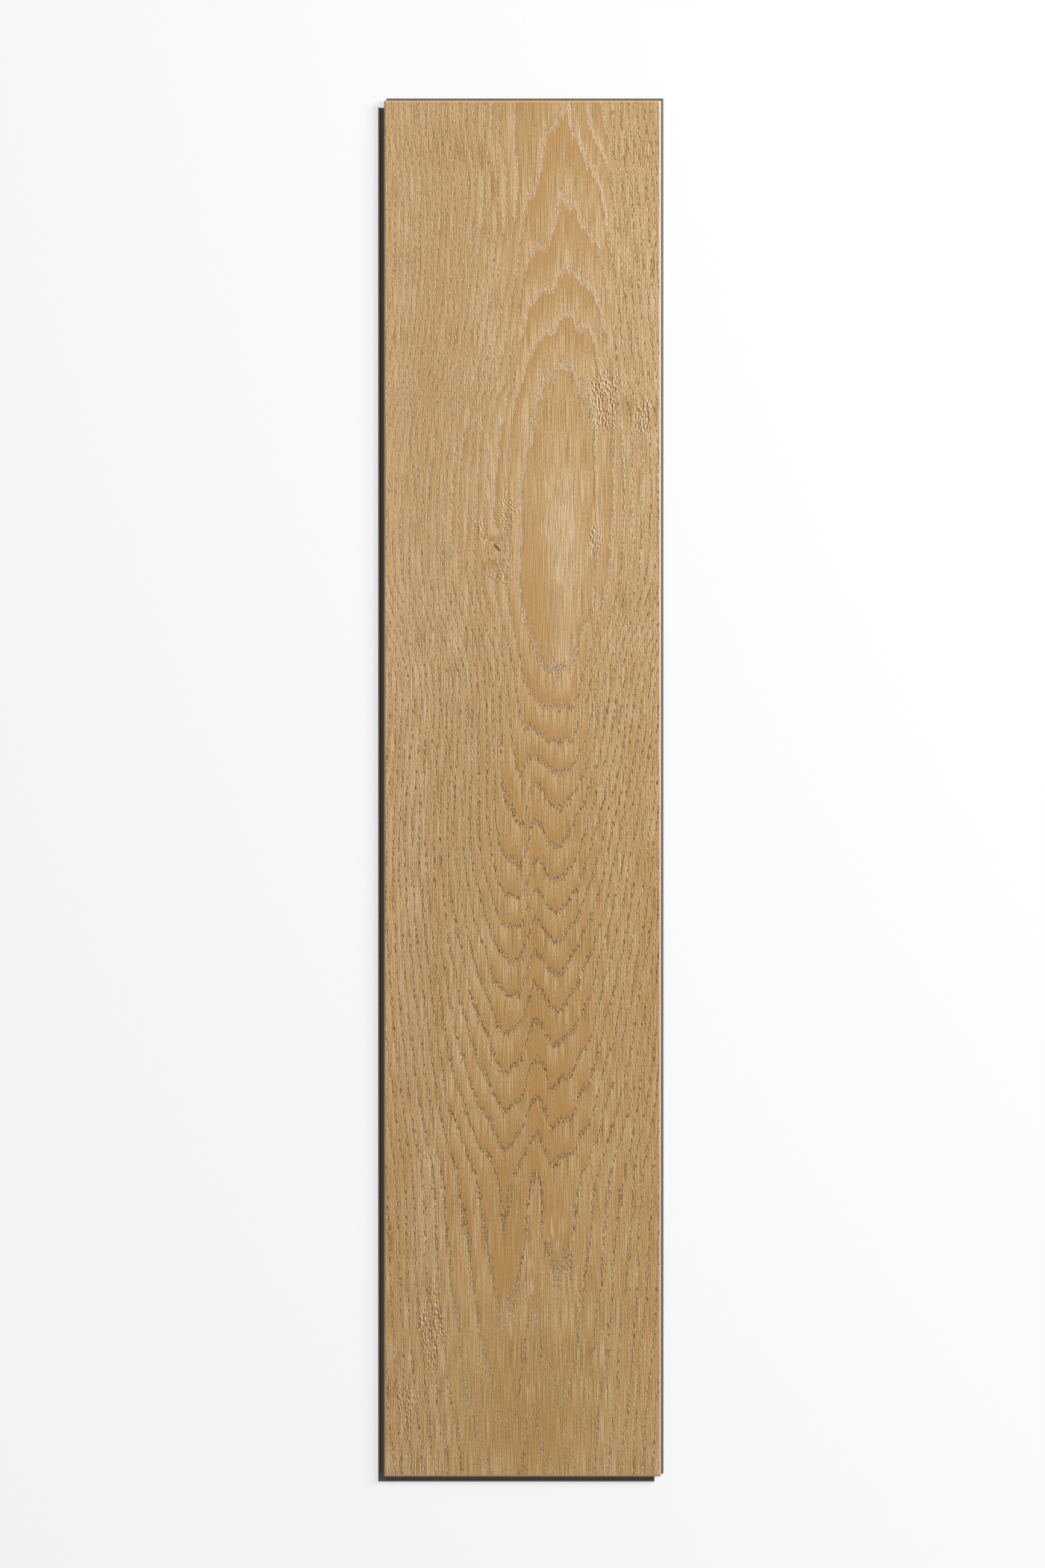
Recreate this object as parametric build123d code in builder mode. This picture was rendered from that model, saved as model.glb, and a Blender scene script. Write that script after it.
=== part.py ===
"""A rigid vinyl floor plank with painted bevels and an angle-in locking joint on all four edges.

The plank lies face up. X runs across it, Y along it and Z up from its underside. The origin is on the
underside, in the middle of the rectangle that one plank takes up in a laid floor. The locking lip is on
the -X and -Y edges and the tongue on the +X and +Y edges, so that one plank locks into the next.
"""

from math import sqrt
import os

from build123d import *

# Driving dimensions, in millimetres
face_width = 184.0
face_length = 914.0
thickness = 5.0

# Painted bevel along the four top edges
bevel_width = 1.0
bevel_depth = 0.5

# Locking joint, the same section on the long and the short edges
tongue_length = 1.8
tongue_thickness = 1.9
lip_thickness = 1.4
lip_reach = 4.0
seat_length = 2.2
ridge_height = 0.7
ridge_chamfer = 0.4
toe_chamfer = 0.3
fit_clearance = 0.05
end_clearance = 0.2

# Levels of the joint above the underside
joint_edge = thickness - bevel_depth
ridge_crest = lip_thickness + ridge_height
tongue_bottom = lip_thickness + fit_clearance
tongue_top = tongue_bottom + tongue_thickness
groove_roof = tongue_top + fit_clearance
notch_roof = ridge_crest + fit_clearance

# Reaches of the joint from the line where two faces meet
tongue_nose = tongue_thickness / 2
groove_end = (groove_roof - lip_thickness) / 2
groove_depth = tongue_length + end_clearance
notch_reach = lip_reach + end_clearance

# The locking faces are arcs about the top edge of the joint, which a plank turns on as it is angled in
ridge_radius = sqrt(seat_length**2 + (joint_edge - lip_thickness) ** 2)
heel_radius = ridge_radius - fit_clearance


def lock_reach(radius, level):
    """Distance from the joint line to a locking arc at a height above the underside."""
    return sqrt(radius**2 - (joint_edge - level) ** 2)


def lock_arc(side, radius, low, high):
    """A locking face between two heights, on the given side of the section."""
    middle = (low + high) / 2
    ThreePointArc(*(side(lock_reach(radius, level), level) for level in (low, middle, high)))


def edge_section(half_span):
    """The closed outline across the plank: locking lip at the negative end, tongue at the positive end."""

    def lip_side(out, level):
        return (-half_span - out, level)

    def tongue_side(out, level):
        return (half_span + out, level)

    def under_tongue(inward, level):
        return (half_span - inward, level)

    # Upper edge: bevel, face, bevel
    Polyline(
        lip_side(0, groove_roof),
        lip_side(0, joint_edge),
        lip_side(-bevel_width, thickness),
        tongue_side(-bevel_width, thickness),
        tongue_side(0, joint_edge),
        tongue_side(0, tongue_top),
        tongue_side(tongue_length - tongue_nose, tongue_top),
    )
    # Tongue: round nose and flat underside
    ThreePointArc(
        tongue_side(tongue_length - tongue_nose, tongue_top),
        tongue_side(tongue_length, tongue_top - tongue_nose),
        tongue_side(tongue_length - tongue_nose, tongue_bottom),
    )
    Line(
        tongue_side(tongue_length - tongue_nose, tongue_bottom),
        under_tongue(lock_reach(heel_radius, tongue_bottom), tongue_bottom),
    )
    # Heel and notch that take the neighbour's ridge
    lock_arc(under_tongue, heel_radius, tongue_bottom, notch_roof)
    # Notch, underside and lip up to its locking face
    Polyline(
        under_tongue(lock_reach(heel_radius, notch_roof), notch_roof),
        under_tongue(notch_reach, notch_roof),
        under_tongue(notch_reach, 0),
        lip_side(lip_reach - toe_chamfer, 0),
        lip_side(lip_reach, toe_chamfer),
        lip_side(lip_reach, ridge_crest - ridge_chamfer),
        lip_side(lip_reach - ridge_chamfer, ridge_crest),
        lip_side(lock_reach(ridge_radius, ridge_crest), ridge_crest),
    )
    lock_arc(lip_side, ridge_radius, lip_thickness, ridge_crest)
    # Groove: flat floor, round end and flat roof
    Line(
        lip_side(seat_length, lip_thickness),
        lip_side(groove_end - groove_depth, lip_thickness),
    )
    ThreePointArc(
        lip_side(groove_end - groove_depth, lip_thickness),
        lip_side(-groove_depth, groove_roof - groove_end),
        lip_side(groove_end - groove_depth, groove_roof),
    )
    Line(
        lip_side(groove_end - groove_depth, groove_roof),
        lip_side(0, groove_roof),
    )


# The plank is milled along its long edges and then across its short edges
with BuildPart() as plank:
    with BuildSketch(Plane.XZ):
        with BuildLine():
            edge_section(face_width / 2)
        make_face()
    extrude(amount=face_length / 2 + lip_reach, both=True)
    with BuildSketch(Plane.YZ):
        with BuildLine():
            edge_section(face_length / 2)
        make_face()
    extrude(amount=face_width / 2 + lip_reach, both=True, mode=Mode.INTERSECT)

    # Each lip stops short of the tongue edge, to leave room for the lip of the plank beyond
    relief_length = notch_reach + tongue_length
    with BuildSketch(Plane.XY):
        with Locations((-face_width / 2, face_length / 2 + tongue_length)):
            Rectangle(lip_reach, relief_length, align=(Align.MAX, Align.MAX))
        with Locations((face_width / 2 + tongue_length, -face_length / 2)):
            Rectangle(relief_length, lip_reach, align=(Align.MAX, Align.MAX))
    extrude(amount=thickness, mode=Mode.SUBTRACT)

plank.part.label = "plank"
os.makedirs("parts", exist_ok=True)
export_step(plank.part, "parts/plank.step")
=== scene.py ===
"""Dress the vinyl floor plank: an oak print embossed in register, painted bevels, a dark core, a studio."""

from collections import namedtuple
import math

import bmesh
import bpy
from bpy.props import FloatProperty, FloatVectorProperty, IntProperty, PointerProperty
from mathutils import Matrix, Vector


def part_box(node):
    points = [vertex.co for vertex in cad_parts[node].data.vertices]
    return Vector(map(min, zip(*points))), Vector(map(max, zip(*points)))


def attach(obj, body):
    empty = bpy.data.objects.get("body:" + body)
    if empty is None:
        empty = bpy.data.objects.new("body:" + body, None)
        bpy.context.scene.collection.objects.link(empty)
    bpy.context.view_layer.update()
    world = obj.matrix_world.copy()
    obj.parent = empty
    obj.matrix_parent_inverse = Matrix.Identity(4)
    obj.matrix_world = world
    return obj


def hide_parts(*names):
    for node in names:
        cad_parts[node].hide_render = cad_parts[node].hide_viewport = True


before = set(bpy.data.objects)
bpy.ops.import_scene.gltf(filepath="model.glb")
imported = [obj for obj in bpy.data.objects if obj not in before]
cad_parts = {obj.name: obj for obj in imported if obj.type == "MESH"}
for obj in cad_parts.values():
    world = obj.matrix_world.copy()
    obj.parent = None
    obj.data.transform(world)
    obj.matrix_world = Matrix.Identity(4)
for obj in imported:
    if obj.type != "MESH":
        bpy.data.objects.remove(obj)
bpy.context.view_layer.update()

bl_info = {
    "name": "Vinyl Floor Plank",
    "version": (1, 0, 0),
    "blender": (4, 5, 0),
    "location": "View3D > Sidebar > Plank",
    "description": "Dresses a vinyl floor plank with an embossed oak print and lights it from above",
    "category": "Add Mesh",
}

MM = 0.001
SAME_PLACE = 0.001 * MM
WHITE = (1.0, 1.0, 1.0, 1.0)
PIECE_NAME = "oak_plank"

# The map that the textures are laid out on: strips side by side, as shares of its width
UV_MAP_NAME = "OFBake"
MAP_WIDTHS = {"face": 0.8, "underside": 0.03}
EDGE_STRIP = 0.0045
MAP_GAP = 0.003

# The finishes, in the order of the mesh's materials
FACE_PRINT, BEVEL_PAINT, VINYL_CORE = range(3)
# Faces that look up at least this far, and reach the top, are the printed face and its bevels
LOOKS_UP = 0.5
# Edges sharper than this stay sharp in the shading
SHARP_ANGLE = math.radians(18)

# The face inside its bevels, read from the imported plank
face_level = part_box("plank")[1].z
face_corner = max(
    (v.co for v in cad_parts["plank"].data.vertices if v.co.z > face_level - SAME_PLACE),
    key=lambda place: place.x + place.y,
)
face_half_width = face_corner.x
face_half_length = face_corner.y

# The log that the figure is drawn from, as points of a distance along the face and a value, in millimetres
# and in growth rings. First the rings that the saw passes along the middle of the figure.
RINGS_ALONG = (
    (-457, 18.8), (-416, 18.2), (-345, 17.2), (-300, 16.7), (-259, 16.2), (-232, 15.2), (-205, 14.1),
    (-154, 12.1), (-108, 10.1), (-43, 7), (8, 5), (51, 3), (76, 2), (110, 1.5), (163, 1.4), (220, 1.5),
    (276, 2), (311, 3), (341, 4), (382, 5), (439, 6), (457, 6.3),
)
# The middle of the figure, across the face
MIDDLE_ACROSS = ((-457, 3), (-150, 5), (-43, 9), (51, 18), (250, 26), (382, 28), (439, 20), (457, 19))
# How far the rings stay nearly flat to each side of the middle
FLAT_MIDDLE = (
    (-457, 16), (20, 14), (60, 13), (85, 18), (120, 36), (170, 50), (230, 46), (276, 26), (311, 20),
    (341, 18), (457, 16),
)
# A flute in the log, which notches each arch, and how many rings it shifts
FLUTE_ACROSS = ((-457, 6), (-150, 9), (-43, 11), (51, 10), (200, 10), (350, 15), (430, 8), (457, 8))
FLUTE_RINGS = ((-457, 1), (-43, 1), (20, 0.6), (51, 0.4), (200, 0.1), (350, 0.3), (457, 0.35))
FLUTE_WIDTH = 9 * MM
# A rib beside the flute, which shifts the rings the other way
RIB_RINGS = ((-457, 0.3), (-43, 0.4), (20, 0.3), (100, 0), (457, 0))
RIB_ACROSS = -11 * MM
RIB_WIDTH = 11 * MM

# The small knot left of the middle
KNOT_ACROSS = -17 * MM
KNOT_ALONG = 158 * MM
KNOT_WIDTH = 7 * MM
KNOT_LENGTH = 11 * MM
KNOT_RINGS = 1.6
# Its dark mark: rings of this half width and half length, and a slanting crack across them
MARK_WIDTH = 6 * MM
MARK_LENGTH = 9 * MM
CRACK_WIDTH = 1.1 * MM
CRACK_LENGTH = 3.8 * MM
CRACK_LIFT = 2 * MM
CRACK_SLANT = math.radians(43)

# Patches of the print, each a place across and along, a half width, a half length and a strength, with the
# lengths in millimetres. First the patches that are scratched pale along the fibres.
SCRATCHED = (
    (24, 178, 11, 45, 1.0), (-23, 206, 5, 30, 0.7), (50, 164, 7, 18, 0.8), (24, 87, 12, 14, 0.8),
    (5, -315, 5, 25, 0.9), (22, -293, 8, 14, 0.9), (-10, -350, 10, 18, 0.6), (24, -370, 7, 35, 0.5),
    (5, -395, 4, 30, 0.6),
)
# The patches that are crinkled, round the knot and where the log's rays are cut lengthwise
CRINKLED = (
    (54, 258, 9, 18, 1.0), (80, 246, 6, 10, 0.9), (-60, -360, 6, 26, 1.0), (-77, -412, 7, 22, 0.5),
    (48, 165, 5, 10, 0.7), (-10, 182, 7, 12, 1.0), (-14, 143, 8, 7, 1.0), (-28, 172, 4, 9, 0.7),
)
# The patches that are warmer or, below zero, cooler
WARMED = (
    (6, 132, 9, 55, 0.7), (-60, 300, 26, 120, 0.35), (87, -350, 9, 85, 0.7), (-81, -270, 9, 65, 0.6),
    (10, -161, 8, 90, 0.6), (21, -216, 10, 45, 0.5), (-12, -290, 10, 60, 0.6), (6, -420, 24, 45, 0.4),
    (-22, 316, 7, 45, -0.4), (30, 160, 12, 60, -0.4), (-64, -290, 8, 50, -0.5),
    (66, 300, 30, 120, -0.8), (84, -140, 20, 110, 0.4),
)
# The patches that are darker or, below zero, paler. The long pale patch down the left flank is painted light,
# making up for the lamp's fall-off on that side.
DARKENED = (
    (10, -161, 7, 90, 0.16), (21, -216, 10, 45, 0.14), (-12, -290, 10, 60, 0.18), (6, -420, 26, 45, 0.1),
    (-22, 316, 7, 45, -0.08), (30, 160, 12, 60, -0.08), (-64, -290, 8, 50, -0.08), (70, 60, 16, 140, -0.05),
    (25, 440, 80, 60, 0.1), (-86, 80, 20, 330, -0.16), (84, 260, 22, 140, -0.07), (78, -140, 26, 110, 0.05),
    (0, -410, 50, 60, 0.1), (-50, 70, 16, 70, -0.07), (30, 200, 30, 120, 0.03),
    (25, -140, 40, 110, 0.03), (88, -400, 14, 70, -0.05),
)

# Where the print and the light painted on it change along and across the face, each from its start to its
# full strength
FAR_HALF = (-30 * MM, 200 * MM)
NEAR_END = (-280 * MM, -375 * MM)
RIGHT_FLANK = (45 * MM, 65 * MM)
# Ring pitches between the crowded flanks and the open arches, and what the far half adds to its pitches
OPEN_PITCH = (7 * MM, 13 * MM)
FAR_OPENING = 2.5 * MM

# Grains of noise. First those that sway the rings and tear their edges.
Grain = namedtuple("Grain", "width length seed detail")
RING_SWAY = Grain(13 * MM, 200 * MM, seed=1.0, detail=2.0)
RING_WAVER = Grain(9 * MM, 60 * MM, seed=2.0, detail=2.0)
RING_EDGE = Grain(1.0 * MM, 10 * MM, seed=3.0, detail=1.0)
# Broad tones of the print, and the uneven edges of its patches
TONE_STREAK = Grain(2.5 * MM, 130 * MM, seed=6.0, detail=2.0)
TONE_SWEEP = Grain(22 * MM, 260 * MM, seed=7.0, detail=2.0)
WARM_SWEEP = Grain(14 * MM, 180 * MM, seed=8.0, detail=2.0)
PATCH_EDGE = Grain(6 * MM, 25 * MM, seed=15.0, detail=2.0)
# Fine grain of the print
FIBRE = Grain(0.45 * MM, 25 * MM, seed=5.0, detail=0.0)
SPECK = Grain(0.5 * MM, 1.8 * MM, seed=18.0, detail=0.0)
WARM_STREAK = Grain(0.6 * MM, 45 * MM, seed=9.0, detail=0.0)
SCRATCH = Grain(0.8 * MM, 14 * MM, seed=13.0, detail=0.0)
PORE_CLUSTER = Grain(4 * MM, 25 * MM, seed=16.0, detail=0.0)
MARK_EDGE = Grain(1.3 * MM, 1.3 * MM, seed=17.0, detail=0.0)
RIPPLE = Grain(1.8 * MM, 0.9 * MM, seed=14.0, detail=0.0)
SCALE = Grain(1.1 * MM, 2.2 * MM, seed=19.0, detail=0.0)
# The bevels and the core
BEVEL_STREAK = Grain(3 * MM, 12 * MM, seed=9.0, detail=4.0)
CORE_SPECK = Grain(0.7 * MM, 0.7 * MM, seed=10.0, detail=3.0)
MILL_MARK = Grain(1.5 * MM, 1.5 * MM, seed=11.0, detail=2.0)
# How far apart in the noise two seeds lie, across and along
SEED_SHIFT = (17.3, 9.1)

# How softly the pores end, and how far from each pore lies its wall that faces the lamp, where a highlight is
# painted
PORE_SOFTNESS = 0.09
PAINTED_HIGHLIGHT_SHIFT = (0.4 * MM, 0.2 * MM)
# How softly a ring line starts
LINE_EDGE = 0.3 * MM
# Depths of the finer relief
SCRATCH_DEPTH = 0.08 * MM
MILL_DEPTH = 0.02 * MM
# Where the hollow along each ring lies, in rings past its line, and how far from the bevels it ends
HOLLOW_PLACE = 0.18
HOLLOW_ROOM = 2 * MM
# The matt wear layer reflects about half as much as bare vinyl
SHEEN = 0.25
# How much of the floor's own shading plain white covers for the camera
FLOOR_WHITE = 0.7

# Values that the face's points hold for the oak print
RINGS_VALUE = "rings"
PITCH_VALUE = "ring_pitch"
TONE_VALUE = "tone"
WARMTH_VALUE = "warmth"
SCRATCH_VALUE = "scratches"
CRINKLE_VALUE = "crinkles"
WIDEST_PITCH = 40 * MM


class Field:
    """A socket of a node tree. Sums on it add Math nodes to that tree."""

    def __init__(self, graph, socket):
        self.graph = graph
        self.socket = socket

    def math(self, operation, *others):
        values = dict(enumerate((self, *others)))
        return self.graph.add("ShaderNodeMath", {"operation": operation}, values)

    def reflected(self, operation, first):
        return self.graph.add("ShaderNodeMath", {"operation": operation}, {0: first, 1: self})

    def __add__(self, other):
        return self.math("ADD", other)

    def __sub__(self, other):
        return self.math("SUBTRACT", other)

    def __rsub__(self, other):
        return self.reflected("SUBTRACT", other)

    def __mul__(self, other):
        return self.math("MULTIPLY", other)

    def __truediv__(self, other):
        return self.math("DIVIDE", other)

    def __rtruediv__(self, other):
        return self.reflected("DIVIDE", other)

    def __pow__(self, other):
        return self.math("POWER", other)

    def __neg__(self):
        return self.math("MULTIPLY", -1.0)

    __radd__ = __add__
    __rmul__ = __mul__


class Graph:
    """A node tree that is written as expressions."""

    def __init__(self, tree):
        self.tree = tree

    def add(self, kind, settings=None, inputs=None, output=0):
        """Add a node, set it, fill its sockets with values or links, and return one of its outputs."""
        node = self.tree.nodes.new(kind)
        for name, value in (settings or {}).items():
            if name == "stops":
                set_stops(node.color_ramp, value)
            elif name == "points":
                set_points(node.mapping, value)
            else:
                setattr(node, name, value)
        for name, value in (inputs or {}).items():
            if isinstance(value, Field):
                self.tree.links.new(value.socket, node.inputs[name])
            else:
                node.inputs[name].default_value = value
        return Field(self, node.outputs[output]) if node.outputs else None

    def step(self, value, low, high):
        """A smooth step: 0 at low, 1 at high, in either order."""
        return self.add(
            "ShaderNodeMapRange",
            {"interpolation_type": "SMOOTHSTEP"},
            {"Value": value, "From Min": low, "From Max": high},
        )

    def hump(self, *offsets):
        """A smooth hump, 1 where every offset is 0, falling away with their squares."""
        total = sum((offset * offset for offset in offsets[1:]), offsets[0] * offsets[0])
        return (-total).math("EXPONENT")

    def patches(self, x, y, places):
        """The sum of patches, each a place, a half width, a half length and a strength."""
        humps = [
            self.hump((x - across * MM) / (wide * MM), (y - along * MM) / (long * MM)) * strength
            for across, along, wide, long, strength in places
        ]
        return sum(humps[1:], humps[0])

    def noise(self, x, y, grain):
        """Noise about 0, between -0.5 and 0.5, with grains of the given width and length."""
        place = {
            0: x / grain.width + SEED_SHIFT[0] * grain.seed,
            1: y / grain.length + SEED_SHIFT[1] * grain.seed,
        }
        vector = self.add("ShaderNodeCombineXYZ", {}, place)
        sockets = {"Vector": vector, "Scale": 1.0, "Detail": grain.detail}
        return self.add("ShaderNodeTexNoise", {"noise_dimensions": "2D"}, sockets) - 0.5

    def along_curve(self, y, points):
        """A value that follows points, each a distance along the face in millimetres and a value."""
        reach = points[-1][0] - points[0][0]
        most = max(value for _, value in points)
        scaled = [((along - points[0][0]) / reach, value / most) for along, value in points]
        place = y / (reach * MM) - points[0][0] / reach
        return self.add("ShaderNodeFloatCurve", {"points": scaled}, {"Value": place}) * most

    def value(self, name):
        """A value that the mesh's points hold."""
        return self.add("ShaderNodeAttribute", {"attribute_name": name}, output="Fac")

    def parts(self, vector):
        """The three parts of a vector."""
        node = self.add("ShaderNodeSeparateXYZ", {}, {0: vector}).socket.node
        return [Field(self, part) for part in node.outputs]

    def place(self):
        """The distances across and along the face."""
        x, y, _ = self.parts(self.add("ShaderNodeTexCoord", output="Object"))
        return x, y

    def mix(self, factor, first, second):
        """A mix of two colours."""
        settings = {"data_type": "RGBA", "blend_type": "MIX"}
        return self.add("ShaderNodeMix", settings, {0: factor, 6: first, 7: second}, output=2)

    def bump(self, height):
        """Normals bent by a height in metres."""
        return self.add("ShaderNodeBump", {}, {"Height": height, "Distance": 1.0, "Strength": 1.0})

    def surface(self, sockets):
        """A Principled shader with the given sockets, as the material's surface."""
        shader = self.add("ShaderNodeBsdfPrincipled", {}, sockets)
        self.add("ShaderNodeOutputMaterial", {}, {"Surface": shader})


def emptied_graph(owner):
    """The emptied node tree of a material or a world."""
    owner.use_nodes = True
    owner.node_tree.nodes.clear()
    return Graph(owner.node_tree)


def set_stops(ramp, stops):
    """Give a colour ramp its stops, each a place and a colour."""
    while len(ramp.elements) < len(stops):
        ramp.elements.new(1.0)
    for element, (place, colour) in zip(ramp.elements, stops):
        element.position = place
        element.color = colour


def set_points(mapping, points):
    """Give a float curve its points."""
    curve = mapping.curves[0]
    while len(curve.points) < len(points):
        curve.points.new(0.5, 0.5)
    for point, place in zip(curve.points, points):
        point.location = place
    mapping.update()


def rgba(colour):
    """A colour property as a socket takes it."""
    return (*colour, 1.0)


def paler(colour, times):
    """A colour property made paler, as a socket takes it."""
    return rgba([channel * times for channel in colour])


class PlankFigure(bpy.types.PropertyGroup):
    """The oak figure that is printed on the face and pressed into it."""

    ring_growth: FloatProperty(
        name="Ring Growth",
        description="Distance from one growth ring to the next in the log",
        default=4.1 * MM,
        unit="LENGTH",
    )
    pore_width: FloatProperty(
        name="Pore Width",
        description="Width of the cell that holds one pore stroke",
        default=0.54 * MM,
        unit="LENGTH",
    )
    pore_length: FloatProperty(
        name="Pore Length",
        description="Length of the cell that holds one pore stroke",
        default=3.4 * MM,
        unit="LENGTH",
    )
    pore_depth: FloatProperty(
        name="Pore Depth",
        description="Depth that the pores are pressed into the face",
        default=0.4 * MM,
        unit="LENGTH",
    )
    step_depth: FloatProperty(
        name="Step Depth",
        description="Depth of the step down at each ring line",
        default=0.14 * MM,
        unit="LENGTH",
    )
    fibre_depth: FloatProperty(
        name="Fibre Depth",
        description="Depth of the fine lines along the fibres",
        default=0.1 * MM,
        unit="LENGTH",
    )
    crinkle_depth: FloatProperty(
        name="Crinkle Depth",
        description="Depth of the crinkles round the knot and over the rays",
        default=0.7 * MM,
        unit="LENGTH",
    )
    ring_depth: FloatProperty(
        name="Ring Depth",
        description="Depth of the hollow along each ring",
        default=0.06 * MM,
        unit="LENGTH",
    )
    cells_across: IntProperty(
        name="Cells Across",
        description="Cells of the face's grid from side to side",
        default=244,
    )
    cells_along: IntProperty(
        name="Cells Along",
        description="Cells of the face's grid from end to end",
        default=400,
    )


class PlankColours(bpy.types.PropertyGroup):
    """The colours of the print, the bevels and the core."""

    # The darkest streaks of the print, also the colour that the painted shade and shadow darken towards
    dark_grain_and_shade: FloatVectorProperty(
        name="Dark Grain",
        description="The darkest streaks of the print",
        default=(0.29, 0.155, 0.05),
        subtype="COLOR",
    )
    ground: FloatVectorProperty(
        name="Ground",
        description="The usual colour of the print",
        default=(0.505, 0.309, 0.117),
        subtype="COLOR",
    )
    # The palest streaks of the print, also the colour of the painted highlights
    pale_grain_and_highlight: FloatVectorProperty(
        name="Pale Grain",
        description="The palest streaks of the print",
        default=(0.7, 0.495, 0.295),
        subtype="COLOR",
    )
    warm_grain: FloatVectorProperty(
        name="Warm Grain",
        description="The orange brown that lies in broad bands",
        default=(0.48, 0.262, 0.088),
        subtype="COLOR",
    )
    pore: FloatVectorProperty(
        name="Pore",
        description="The dark bottom of the pores",
        default=(0.18, 0.075, 0.016),
        subtype="COLOR",
    )
    bevel: FloatVectorProperty(
        name="Bevel",
        description="The paint on the bevels",
        default=(0.5, 0.34, 0.18),
        subtype="COLOR",
    )
    core: FloatVectorProperty(
        name="Core",
        description="The filled vinyl under the print",
        default=(0.1, 0.082, 0.067),
        subtype="COLOR",
    )


class PlankStudio(bpy.types.PropertyGroup):
    """The floor, the light and the camera."""

    floor_colour: FloatVectorProperty(
        name="Floor",
        description="Colour of the floor that the plank lies on",
        default=(0.9, 0.9, 0.9),
        subtype="COLOR",
    )
    floor_size: FloatProperty(
        name="Floor Size",
        description="Side of the floor",
        default=30.0,
        unit="LENGTH",
    )
    key_power: FloatProperty(
        name="Key Power",
        description="Power of the lamp",
        default=140.0,
        unit="POWER",
    )
    key_size: FloatProperty(
        name="Key Size",
        description="Side of the square lamp",
        default=1.2,
        unit="LENGTH",
    )
    key_place: FloatVectorProperty(
        name="Key Place",
        description="Where the lamp hangs, beyond the far end and to the right",
        default=(2.4, 1.2, 1.25),
        subtype="TRANSLATION",
    )
    sky_strength: FloatProperty(
        name="Sky Strength",
        description="Even light from all round",
        default=0.28,
    )
    lens: FloatProperty(
        name="Lens",
        description="Focal length of the camera, in millimetres",
        default=85.0,
    )
    margin: FloatProperty(
        name="Margin",
        description="Height of the picture over the length of the face",
        default=1.142,
    )
    lift: FloatProperty(
        name="Lift",
        description="How far the middle of the picture lies beyond the middle of the face",
        default=3 * MM,
        unit="LENGTH",
    )


def ring_count(graph, x, y, figure):
    """Growth rings between the pith and a place on the face, as a flat saw cut through the log shows them."""
    across = x - graph.along_curve(y, MIDDLE_ACROSS) * MM
    middle = graph.along_curve(y, RINGS_ALONG)
    flat = graph.along_curve(y, FLAT_MIDDLE) * MM
    aside = ((across * across + flat * flat) ** 0.5 - flat) / figure.ring_growth
    rings = (middle * middle + aside * aside) ** 0.5
    flute = graph.hump((x - graph.along_curve(y, FLUTE_ACROSS) * MM) / FLUTE_WIDTH)
    rib = graph.hump((x - RIB_ACROSS) / RIB_WIDTH)
    knot = graph.hump((x - KNOT_ACROSS) / KNOT_WIDTH, (y - KNOT_ALONG) / KNOT_LENGTH)
    rings = rings + flute * graph.along_curve(y, FLUTE_RINGS) - rib * graph.along_curve(y, RIB_RINGS)
    uneven = graph.noise(x, y, RING_WAVER) * 0.4 + graph.noise(x, y, RING_SWAY) * 0.8
    return rings + knot * KNOT_RINGS + uneven


def ring_pitch(graph, x, y, rings, figure):
    """Distance from one ring line to the next at a place on the face."""
    nudge = 0.5 * MM
    across = (ring_count(graph, x + nudge, y, figure) - rings) / nudge
    along = (ring_count(graph, x, y + nudge, figure) - rings) / nudge
    slope = (across * across + along * along) ** 0.5
    return (1 / slope).math("MINIMUM", WIDEST_PITCH)


def knot_marks(graph, x, y):
    """The dark rings of the knot and the slanting crack across it."""
    across = x - KNOT_ACROSS
    along = y - KNOT_ALONG
    raised = along - CRACK_LIFT
    beside = across * math.cos(CRACK_SLANT) + raised * math.sin(CRACK_SLANT)
    down = raised * math.cos(CRACK_SLANT) - across * math.sin(CRACK_SLANT)
    uneven = graph.noise(x, y, MARK_EDGE)
    crack = graph.step(graph.hump(beside / CRACK_WIDTH + uneven, down / CRACK_LENGTH), 0.3, 0.6)
    from_middle = ((across / MARK_WIDTH) ** 2.0 + (along / MARK_LENGTH) ** 2.0) ** 0.5 + uneven * 0.5
    outer_ring = graph.hump((from_middle - 1) / 0.1) * 0.35
    inner_ring = graph.hump((from_middle - 0.6) / 0.08) * 0.2
    return (outer_ring + inner_ring).math("MAXIMUM", crack * 0.95)


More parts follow.
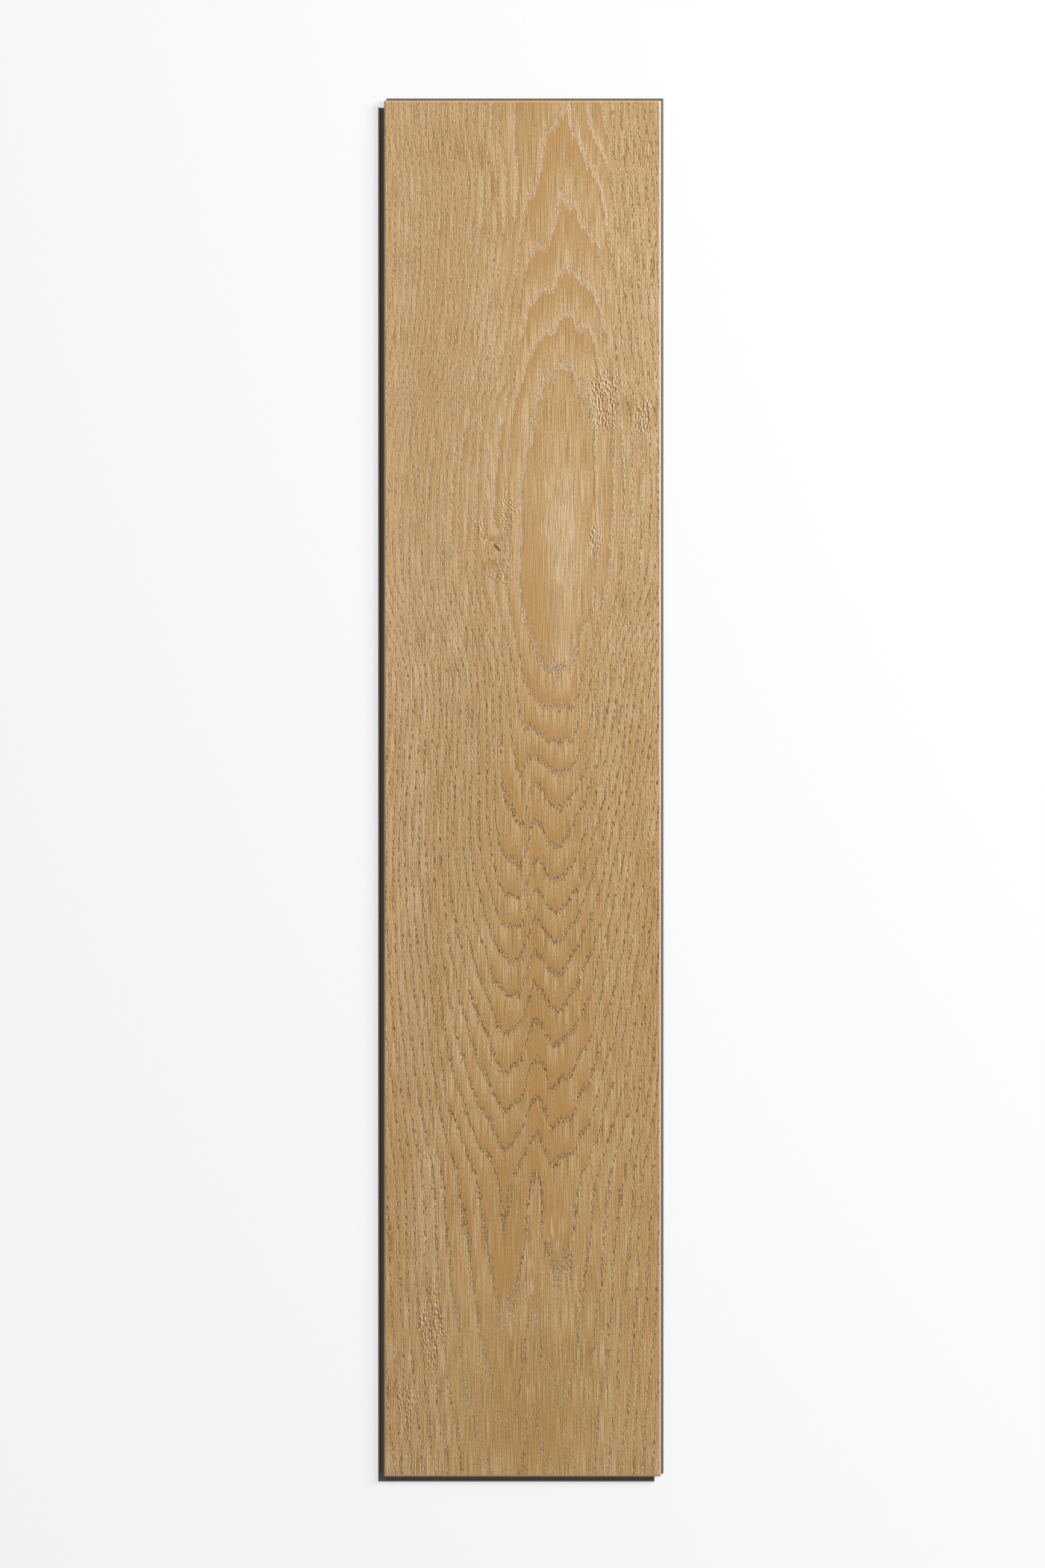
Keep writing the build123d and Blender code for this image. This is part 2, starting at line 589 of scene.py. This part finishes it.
def oak_material(figure, colours):
    """The printed face: oak grain with its pores pressed in, and highlight and shade painted beside its pores
    and ring lines.
    """
    material = bpy.data.materials.new("oak_print_and_painted_light")
    graph = emptied_graph(material)
    x, y = graph.place()
    pitch = graph.value(PITCH_VALUE)
    far_half = graph.step(y, *FAR_HALF)
    near_end = graph.step(y, *NEAR_END)
    right_flank = graph.step(x, *RIGHT_FLANK)
    open_figure = graph.step(pitch + far_half * FAR_OPENING, *OPEN_PITCH)
    flank = 1 - open_figure
    rings = graph.value(RINGS_VALUE) + graph.noise(x, y, RING_EDGE) * (flank * 0.15 + 0.36)
    phase = rings.math("FRACT")
    past = phase * pitch

    # Pores: torn strokes, gathered along each ring line, with a few more on the far half's flanks, and a
    # painted highlight on the wall of each that faces the lamp
    spread = pitch * 0.13 + 0.3 * MM
    band = graph.step(past, 0.0, LINE_EDGE) * graph.step(past - spread, 0.9 * MM, 0.0)
    scattered = flank * far_half
    gathered = band * (open_figure * 0.14 + 0.28) - open_figure * 0.12 + scattered * 0.02 - 0.25
    gathered = gathered + graph.noise(x, y, PORE_CLUSTER) * flank * 0.1

    long_tear = Grain(figure.pore_width, figure.pore_length, seed=4.0, detail=1.0)
    short_tear = Grain(1.15 * figure.pore_width, 0.55 * figure.pore_length, seed=12.0, detail=1.0)

    def tears(across, along):
        on_flanks = graph.noise(across, along, long_tear) * flank
        return on_flanks + graph.noise(across, along, short_tear) * open_figure

    torn = tears(x, y)
    pores = graph.step(torn + gathered, 0.0, PORE_SOFTNESS)
    # Painted highlight: the strokes shifted towards the lamp, pale on each pore's lit wall and left out where
    # the pore itself lies
    beside = tears(x + PAINTED_HIGHLIGHT_SHIFT[0], y + PAINTED_HIGHLIGHT_SHIFT[1])
    painted_wall_highlight = graph.step(beside + gathered, 0.0, PORE_SOFTNESS) * (1 - pores)

    # Ground of the print: fine fibres over broad tones, warm late wood and pale early wood, with painted
    # highlight and shade beside the pores and painted shadow under the ring lines
    fibre = graph.noise(x, y, FIBRE)
    specks = graph.noise(x, y, SPECK)
    outside_eye = graph.step(rings, 1.95, 2.05) * 0.8 + 0.2
    late_wood = graph.step(phase, 0.4, 1.0) * open_figure * outside_eye * (1 - near_end * 0.7)
    # Painted shadow just short of each ring line, under the raised line, on the far half's open figure
    painted_shadow = graph.step((1 - phase) * pitch, 1.3 * MM, 0.2 * MM) * open_figure * far_half
    # Fibres and specks, with painted highlight just before each pore and painted shade on it
    fine_tone_and_painted_light = fibre * 1.45 + specks * 0.7 + (beside - torn) * (flank * 0.4 + 0.2)
    tone = fine_tone_and_painted_light - late_wood * 0.1 - painted_shadow * 0.95 - far_half * 0.01 + graph.value(TONE_VALUE) + 0.58
    stops = (
        (0.0, rgba(colours.dark_grain_and_shade)),
        (0.5, rgba(colours.ground)),
        (1.0, rgba(colours.pale_grain_and_highlight)),
    )
    grain = graph.add("ShaderNodeValToRGB", {"stops": stops}, {"Fac": tone})
    fine_warmth = graph.step(graph.noise(x, y, WARM_STREAK), -0.1, 0.25)
    warmth = graph.value(WARMTH_VALUE) + fine_warmth * 0.25 + late_wood * 0.7 + 0.05
    grain = graph.mix(warmth, grain, rgba(colours.warm_grain))
    early_wood = graph.step(past, 7 * MM, 2 * MM) * open_figure * far_half
    # Pale line along each ring line on the far half's open figure, which the relief also raises; its paleness
    # is painted highlight where the step catches the lamp
    line = graph.step(past, 0.0, LINE_EDGE) * graph.step(past, 2.7 * MM, 1.5 * MM) * open_figure * far_half
    strokes = graph.step(graph.noise(x, y, SCRATCH), 0.0, 0.16)
    scratches = strokes * graph.value(SCRATCH_VALUE)
    # Pale early wood and scratches, and painted highlights: the ring lines on the far half, pale rows on its
    # flanks, the whole far half a little paler, and the lit pore walls
    paleness_and_painted_light = early_wood * 0.28 + line + band * scattered * 0.15 + far_half * 0.1
    paleness_and_painted_light = paleness_and_painted_light + scratches * 0.75 + painted_wall_highlight * 0.85
    grain = graph.mix(paleness_and_painted_light, grain, rgba(colours.pale_grain_and_highlight))
    # Painted light: on the far half, towards the lamp, the pores are inked less, except on the right flank
    painted_far_lightening = far_half * (open_figure * 0.22 + 0.42 - right_flank * 0.3)
    near_fading = near_end * (open_figure * 0.65 + 0.15)
    ink = 0.82 - painted_far_lightening - near_fading
    dark = (pores * ink).math("MAXIMUM", knot_marks(graph, x, y))
    colour = graph.mix(dark, grain, rgba(colours.pore))

    # Relief: crinkles and ripples, a step down at each ring line, and the pores and scratches pressed in
    near_knot = graph.hump((x - KNOT_ACROSS) / (30 * MM), (y - KNOT_ALONG) / (45 * MM))
    ripples = graph.noise(x, y, RIPPLE) * near_knot
    scales = graph.noise(x, y, SCALE) * (1 - near_knot)
    crinkle = (ripples + scales * 1.3) * graph.value(CRINKLE_VALUE)
    step_down = graph.step(past, 0.0, 0.4 * MM) * graph.step(past, 6 * MM, 0.4 * MM)
    step_down = step_down * open_figure * (1 - near_end)
    pressed = (pores + torn * flank * 0.25) * figure.pore_depth
    pressed = pressed + scratches * SCRATCH_DEPTH + step_down * figure.step_depth
    height = fibre * figure.fibre_depth + crinkle * figure.crinkle_depth + line * figure.step_depth - pressed
    sockets = {
        "Base Color": colour,
        "Roughness": pores * 0.15 + 0.48,
        "Specular IOR Level": SHEEN,
        "Normal": graph.bump(height),
    }
    graph.surface(sockets)
    return material


def bevel_material(colours):
    """The painted bevels: the tone of the face with faint streaks."""
    material = bpy.data.materials.new("bevel_paint")
    graph = emptied_graph(material)
    x, y = graph.place()
    streak = graph.noise(x, y, BEVEL_STREAK)
    colour = graph.mix(streak + 0.5, rgba(colours.bevel), paler(colours.bevel, 1.25))
    graph.surface({"Base Color": colour, "Roughness": streak * 0.2 + 0.5})
    return material


def core_material(colours):
    """The filled vinyl core: dark, with fine mineral specks and mill marks."""
    material = bpy.data.materials.new("vinyl_core")
    graph = emptied_graph(material)
    x, y = graph.place()
    speck = graph.noise(x, y, CORE_SPECK)
    colour = graph.mix(graph.step(speck, 0.08, 0.3), rgba(colours.core), paler(colours.core, 2.5))
    bump = graph.bump(graph.noise(x, y, MILL_MARK) * MILL_DEPTH)
    graph.surface({"Base Color": colour, "Roughness": speck * 0.2 + 0.55, "Normal": bump})
    return material


def embossed_mesh(figure):
    """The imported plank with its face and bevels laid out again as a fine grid, joined to the rest of it."""
    plank = bmesh.new()
    plank.from_mesh(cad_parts["plank"].data)
    bmesh.ops.remove_doubles(plank, verts=plank.verts, dist=SAME_PLACE)
    old_top = [
        face
        for face in plank.faces
        if face.normal.z > LOOKS_UP and max(vert.co.z for vert in face.verts) > face_level - SAME_PLACE
    ]
    bmesh.ops.delete(plank, geom=old_top, context="FACES")
    for face in plank.faces:
        face.material_index = VINYL_CORE
    border = [edge for edge in plank.edges if edge.is_boundary]
    outer_half_width = max(vert.co.x for edge in border for vert in edge.verts)
    outer_half_length = max(vert.co.y for edge in border for vert in edge.verts)
    outer_level = border[0].verts[0].co.z

    # The border gets the grid's points, so that the two meet point to point
    for edge in border:
        lies_along = abs(edge.verts[0].co.y - edge.verts[1].co.y) > outer_half_length
        cells = figure.cells_along if lies_along else figure.cells_across
        bmesh.ops.subdivide_edges(plank, edges=[edge], cuts=cells - 1)

    def spread(half, cells):
        return [half * (2 * index / cells - 1) for index in range(cells + 1)]

    inner_x = spread(face_half_width, figure.cells_across)
    inner_y = spread(face_half_length, figure.cells_along)
    outer_x = spread(outer_half_width, figure.cells_across)
    outer_y = spread(outer_half_length, figure.cells_along)
    inner = [[plank.verts.new((x, y, face_level)) for y in inner_y] for x in inner_x]
    left = [plank.verts.new((outer_x[0], y, outer_level)) for y in outer_y]
    right = [plank.verts.new((outer_x[-1], y, outer_level)) for y in outer_y]
    near = [left[0], *(plank.verts.new((x, outer_y[0], outer_level)) for x in outer_x[1:-1]), right[0]]
    far = [left[-1], *(plank.verts.new((x, outer_y[-1], outer_level)) for x in outer_x[1:-1]), right[-1]]

    def strip(first, second, material_index):
        for index in range(len(first) - 1):
            corners = (first[index], second[index], second[index + 1], first[index + 1])
            face = plank.faces.new(corners)
            face.material_index = material_index
            face.smooth = True

    for column, following in zip(inner, inner[1:]):
        strip(column, following, FACE_PRINT)
    near_row = [column[0] for column in inner]
    far_row = [column[-1] for column in inner]
    strip(left, inner[0], BEVEL_PAINT)
    strip(inner[-1], right, BEVEL_PAINT)
    strip(near_row, near, BEVEL_PAINT)
    strip(far, far_row, BEVEL_PAINT)
    bmesh.ops.remove_doubles(plank, verts=plank.verts, dist=SAME_PLACE)
    mesh = bpy.data.meshes.new(PIECE_NAME)
    plank.to_mesh(mesh)
    plank.free()
    return mesh


def print_values(graph, x, y):
    """The broad tones and the patches of the print, by name."""
    streak = graph.noise(x, y, TONE_STREAK)
    sweep = graph.noise(x, y, TONE_SWEEP)
    warm_sweep = graph.step(graph.noise(x, y, WARM_SWEEP), -0.05, 0.25)
    uneven = graph.noise(x, y, PATCH_EDGE) * 0.8
    return {
        TONE_VALUE: streak * 0.06 + sweep * 0.3 - graph.patches(x, y, DARKENED),
        WARMTH_VALUE: warm_sweep * 0.2 + graph.patches(x, y, WARMED) * 0.6,
        SCRATCH_VALUE: graph.step(graph.patches(x, y, SCRATCHED) + uneven, 0.2, 0.7),
        CRINKLE_VALUE: graph.step(graph.patches(x, y, CRINKLED) + uneven, 0.12, 0.5),
    }


def embossing_nodes(figure):
    """Geometry nodes that press the hollows along the rings into the face and store the print's values."""
    tree = bpy.data.node_groups.new("embossing", "GeometryNodeTree")
    tree.interface.new_socket("Geometry", in_out="INPUT", socket_type="NodeSocketGeometry")
    tree.interface.new_socket("Geometry", in_out="OUTPUT", socket_type="NodeSocketGeometry")
    graph = Graph(tree)
    start = graph.add("NodeGroupInput")
    x, y, z = graph.parts(graph.add("GeometryNodeInputPosition"))
    rings = ring_count(graph, x, y, figure)
    pitch = ring_pitch(graph, x, y, rings, figure)
    hollow = ((rings - HOLLOW_PLACE) * math.tau).math("COSINE") * 0.5 + 0.5
    side_room = face_half_width - x.math("ABSOLUTE")
    end_room = face_half_length - y.math("ABSOLUTE")
    inside = graph.step(side_room.math("MINIMUM", end_room), 0.0, HOLLOW_ROOM)
    on_face = z.math("GREATER_THAN", face_level - SAME_PLACE)
    drop = hollow * inside * on_face * -figure.ring_depth
    offset = graph.add("ShaderNodeCombineXYZ", {}, {2: drop})
    pressed = graph.add("GeometryNodeSetPosition", {}, {"Geometry": start, "Offset": offset})
    values = {RINGS_VALUE: rings, PITCH_VALUE: pitch, **print_values(graph, x, y)}
    for name, value in values.items():
        sockets = {"Geometry": pressed, "Name": name, "Value": value}
        pressed = graph.add("GeometryNodeStoreNamedAttribute", {"data_type": "FLOAT"}, sockets)
    graph.add("NodeGroupOutput", {}, {0: pressed})
    return tree


def strip_of(polygon):
    """The strip of the map that a polygon lies in, and the axes that run across and along the strip."""
    if polygon.material_index == FACE_PRINT:
        return "face", 0, 1
    centre = polygon.center
    normal = polygon.normal
    beyond_side = abs(centre.x) - face_half_width
    beyond_end = abs(centre.y) - face_half_length
    edge = 0 if beyond_side > beyond_end else 1
    side = (edge, centre[edge] > 0)
    facing = max(range(3), key=lambda axis: abs(normal[axis]))
    if facing < 2:
        return (side, facing, normal[facing] > 0), 2, 1 - facing
    if centre.z < SAME_PLACE:
        return "underside", 0, 1
    return (side, polygon.material_index, normal.z > 0), edge, 1 - edge


def lay_out_map(mesh):
    """Spread the face over most of the map, with the bevels, joint and underside in strips beside it."""
    strips = {}
    for polygon in mesh.polygons:
        strips.setdefault(strip_of(polygon), []).extend(polygon.loop_indices)
    layer = mesh.uv_layers.new(name=UV_MAP_NAME)
    start = MAP_GAP
    for (name, across, along), corners in strips.items():
        width = MAP_WIDTHS.get(name, EDGE_STRIP)
        places = [mesh.vertices[mesh.loops[corner].vertex_index].co for corner in corners]
        low_across = min(place[across] for place in places)
        low_along = min(place[along] for place in places)
        reach_across = max(place[across] for place in places) - low_across
        reach_along = max(place[along] for place in places) - low_along
        for corner, place in zip(corners, places):
            u = start + width * (place[across] - low_across) / reach_across
            v = MAP_GAP + (1 - 2 * MAP_GAP) * (place[along] - low_along) / reach_along
            layer.data[corner].uv = (u, v)
        start += width + MAP_GAP


class PLANK_OT_dress(bpy.types.Operator):
    """Lay out the face as an embossed grid and give the plank its finishes"""

    bl_idname = "plank.dress"
    bl_label = "Dress Plank"

    def execute(self, context):
        figure = context.scene.plank_figure
        colours = context.scene.plank_colours
        piece = bpy.data.objects.new(PIECE_NAME, embossed_mesh(figure))
        context.scene.collection.objects.link(piece)
        pressing = piece.modifiers.new("embossing", "NODES")
        pressing.node_group = embossing_nodes(figure)
        evaluated = piece.evaluated_get(context.evaluated_depsgraph_get())
        mesh = bpy.data.meshes.new_from_object(evaluated)
        piece.modifiers.clear()
        piece.data = mesh
        mesh.name = PIECE_NAME
        for material in (oak_material(figure, colours), bevel_material(colours), core_material(colours)):
            mesh.materials.append(material)
        mesh.set_sharp_from_angle(angle=SHARP_ANGLE)
        lay_out_map(mesh)
        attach(piece, "root")
        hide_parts("plank")
        return {"FINISHED"}


class PLANK_OT_stage(bpy.types.Operator):
    """Lay the floor, hang the lamp and set the camera straight above the plank"""

    bl_idname = "plank.stage"
    bl_label = "Set Stage"

    def execute(self, context):
        studio = context.scene.plank_studio
        scene = context.scene
        self.lay_floor(scene, studio)
        self.light(scene, studio)
        self.set_camera(scene, studio)
        scene.view_settings.view_transform = "Standard"
        return {"FINISHED"}

    def seen(self, graph):
        """1 for what the camera sees, straight on, by a reflection or through glass."""
        names = ("Is Camera Ray", "Is Glossy Ray", "Is Transmission Ray")
        camera, glossy, through = (graph.add("ShaderNodeLightPath", output=name) for name in names)
        return camera.math("MAXIMUM", glossy).math("MAXIMUM", through)

    def lay_floor(self, scene, studio):
        mesh = bpy.data.meshes.new("studio_floor")
        half = studio.floor_size / 2
        corners = [(-half, -half, 0), (half, -half, 0), (half, half, 0), (-half, half, 0)]
        mesh.from_pydata(corners, [], [(0, 1, 2, 3)])
        floor = bpy.data.objects.new("studio_floor", mesh)
        scene.collection.objects.link(floor)
        material = bpy.data.materials.new("studio_floor")
        graph = emptied_graph(material)
        matt = graph.add("ShaderNodeBsdfDiffuse", {}, {"Color": rgba(studio.floor_colour)})
        white = graph.add("ShaderNodeEmission", {}, {"Color": WHITE, "Strength": 1.0})
        shader = graph.add("ShaderNodeMixShader", {}, {0: self.seen(graph) * FLOOR_WHITE, 1: matt, 2: white})
        graph.add("ShaderNodeOutputMaterial", {}, {"Surface": shader})
        mesh.materials.append(material)

    def light(self, scene, studio):
        lamp = bpy.data.lights.new("key", "AREA")
        lamp.energy = studio.key_power
        lamp.size = studio.key_size
        key = bpy.data.objects.new("key", lamp)
        key.location = studio.key_place
        key.rotation_mode = "QUATERNION"
        key.rotation_quaternion = (-key.location).to_track_quat("-Z", "Y")
        scene.collection.objects.link(key)
        world = bpy.data.worlds.new("studio")
        graph = emptied_graph(world)
        sky = graph.add("ShaderNodeBackground", {}, {"Color": WHITE, "Strength": studio.sky_strength})
        plain = graph.add("ShaderNodeBackground", {}, {"Color": WHITE, "Strength": 1.0})
        shader = graph.add("ShaderNodeMixShader", {}, {0: self.seen(graph), 1: sky, 2: plain})
        graph.add("ShaderNodeOutputWorld", {}, {"Surface": shader})
        scene.world = world

    def set_camera(self, scene, studio):
        data = bpy.data.cameras.new("camera")
        data.lens = studio.lens
        half_height = face_half_length * studio.margin
        distance = half_height / (data.sensor_width / 2 / data.lens)
        camera = bpy.data.objects.new("camera", data)
        camera.location = (0.0, studio.lift, face_level + distance)
        scene.collection.objects.link(camera)
        scene.camera = camera


class PLANK_PT_sidebar(bpy.types.Panel):
    """Lists the steps that make the plank"""

    bl_idname = "PLANK_PT_sidebar"
    bl_label = "Vinyl Plank"
    bl_space_type = "VIEW_3D"
    bl_region_type = "UI"
    bl_category = "Plank"

    def draw(self, context):
        for operator in (PLANK_OT_dress, PLANK_OT_stage):
            self.layout.operator(operator.bl_idname)


CLASSES = (PlankFigure, PlankColours, PlankStudio, PLANK_OT_dress, PLANK_OT_stage, PLANK_PT_sidebar)


def register():
    for cls in CLASSES:
        bpy.utils.register_class(cls)
    bpy.types.Scene.plank_figure = PointerProperty(type=PlankFigure)
    bpy.types.Scene.plank_colours = PointerProperty(type=PlankColours)
    bpy.types.Scene.plank_studio = PointerProperty(type=PlankStudio)


def unregister():
    del bpy.types.Scene.plank_studio
    del bpy.types.Scene.plank_colours
    del bpy.types.Scene.plank_figure
    for cls in reversed(CLASSES):
        bpy.utils.unregister_class(cls)


def main():
    register()
    bpy.ops.plank.dress()
    bpy.ops.plank.stage()


if __name__ == "__main__":
    main()
